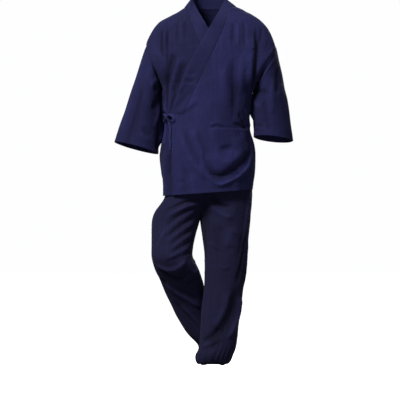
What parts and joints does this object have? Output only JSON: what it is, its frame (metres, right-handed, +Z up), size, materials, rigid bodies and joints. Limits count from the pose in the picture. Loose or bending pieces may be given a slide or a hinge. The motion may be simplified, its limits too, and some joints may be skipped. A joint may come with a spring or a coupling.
{
  "type": "samue jacket and trousers set, worn shape",
  "caption": "Wrapped cotton work jacket with a side bow and patch pocket, over loose trousers gathered at the ankles, in worn shape",
  "frame": {"origin": "the middle of the neck, level with the neck ends of the shoulder seams, where the wearer's shoulders carry the jacket", "axes": "+Z up, -Y is the front, +X is the wearer's left"},
  "size_m": [0.689, 0.323, 1.4443],
  "materials": {
    "jacket": "matt navy cotton with faint slubs",
    "trousers": "matt navy cotton with faint slubs",
    "ties": "matt navy cotton, folded and stitched"
  },
  "bodies": {
    "root": {"back": "jacket", "front_over": "jacket", "front_under": "jacket", "collar": "jacket", "sleeve_right": "jacket", "sleeve_left": "jacket", "pocket": "jacket", "leg_left_front": "trousers", "leg_left_back": "trousers", "cuff_left": "trousers", "leg_right_front": "trousers", "leg_right_back": "trousers", "cuff_right": "trousers", "waistband": "trousers", "knot": "ties", "bow_loop_side": "ties", "bow_loop_front": "ties", "tail_side": "ties", "tail_front": "ties", "tie_front": "ties", "tie_side": "ties"}
  },
  "joints": []
}
